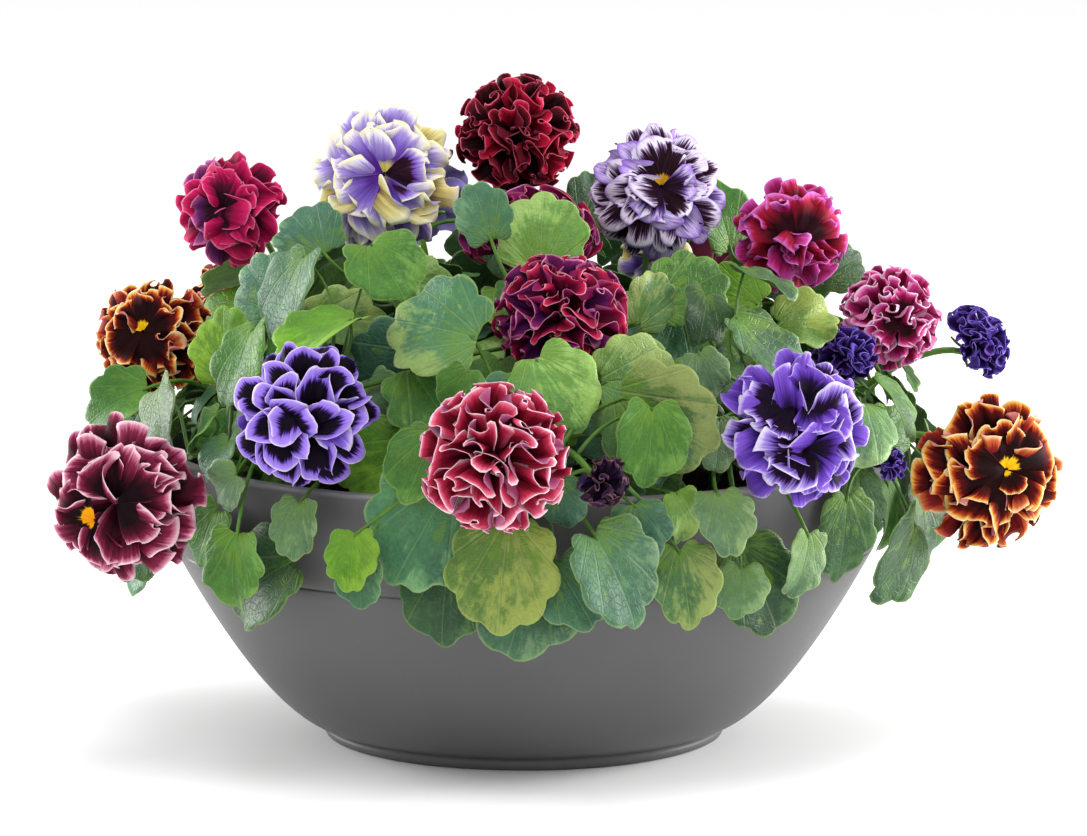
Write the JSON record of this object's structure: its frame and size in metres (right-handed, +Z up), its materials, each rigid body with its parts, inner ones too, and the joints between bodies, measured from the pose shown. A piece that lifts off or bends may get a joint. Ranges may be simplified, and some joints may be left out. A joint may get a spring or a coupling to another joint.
{
  "type": "potted pansy planter",
  "caption": "Round bowl planter in dark grey plastic, filled with ruffled pansies in mixed colours on leafy stems that spill over the rim.",
  "frame": {"origin": "centre of the bowl's flat underside, on the surface that it stands on", "axes": "+Z up, -Y towards the front that the picture shows, +X to the right as seen from the front"},
  "size_m": [0.503, 0.4826, 0.3372],
  "materials": {
    "planter_plastic": "smooth satin moulded plastic, dark grey",
    "potting_soil": "rough, dark and crumbly",
    "foliage": "soft green leaf, a little glossy",
    "petals_magenta": "velvety crimson and purple magenta with thin pale margins",
    "petals_lavender": "white and lavender with yellow blotches",
    "petals_dark_red": "velvety, nearly black red with crimson frills",
    "petals_blotched": "white and lilac with nearly black blotches",
    "petals_magenta_rimmed": "dark red with violet pink margins",
    "petals_pink_rimmed": "burgundy with white and pink margins",
    "petals_purple": "deep violet",
    "petals_copper": "maroon to gold at the margins",
    "petals_violet": "violet with dark centres",
    "petals_rose_rimmed": "crimson with pale pink margins",
    "petals_crimson": "crimson and purple with pink margins",
    "petals_purple_rimmed": "nearly black purple with white lavender margins",
    "petals_burgundy": "dark burgundy with rose margins",
    "petals_withered": "crumpled and dry"
  },
  "bodies": {
    "root": {"bowl": "planter_plastic", "soil": "potting_soil", "plant_magenta_left": "foliage", "plant_lavender_left": "foliage", "plant_dark_red": "foliage", "plant_blotched_right": "foliage", "plant_magenta_rim": "foliage", "plant_pink_rim": "foliage", "plant_purple": "foliage", "plant_copper_right": "foliage", "plant_violet": "foliage", "plant_rose_front": "foliage", "plant_crimson": "foliage", "plant_purple_rim": "foliage", "plant_burgundy_left": "foliage", "plant_copper_left": "foliage", "plant_lavender_back": "foliage", "plant_rose_back": "foliage", "plant_burgundy_back": "foliage", "plant_copper_back": "foliage", "bloom_magenta_left": "petals_magenta", "bloom_lavender_left": "petals_lavender", "bloom_dark_red_top": "petals_dark_red", "bloom_blotched_right": "petals_blotched", "bloom_magenta_rim": "petals_magenta_rimmed", "bloom_pink_rim": "petals_pink_rimmed", "bloom_purple_side": "petals_purple", "bloom_copper_right": "petals_copper", "bloom_violet_front": "petals_violet", "bloom_rose_front": "petals_rose_rimmed", "bloom_crimson_mid": "petals_crimson", "bloom_purple_rim": "petals_purple_rimmed", "bloom_burgundy_left": "petals_burgundy", "bloom_copper_left": "petals_copper", "bloom_crimson_behind": "petals_crimson", "bloom_withered": "petals_withered", "bloom_purple_small": "petals_purple", "bloom_purple_bud": "petals_purple", "bloom_lilac_low": "petals_lavender", "bloom_lavender_back": "petals_lavender", "bloom_rose_back": "petals_rose_rimmed", "bloom_burgundy_back": "petals_burgundy", "bloom_copper_back": "petals_copper"}
  },
  "joints": []
}
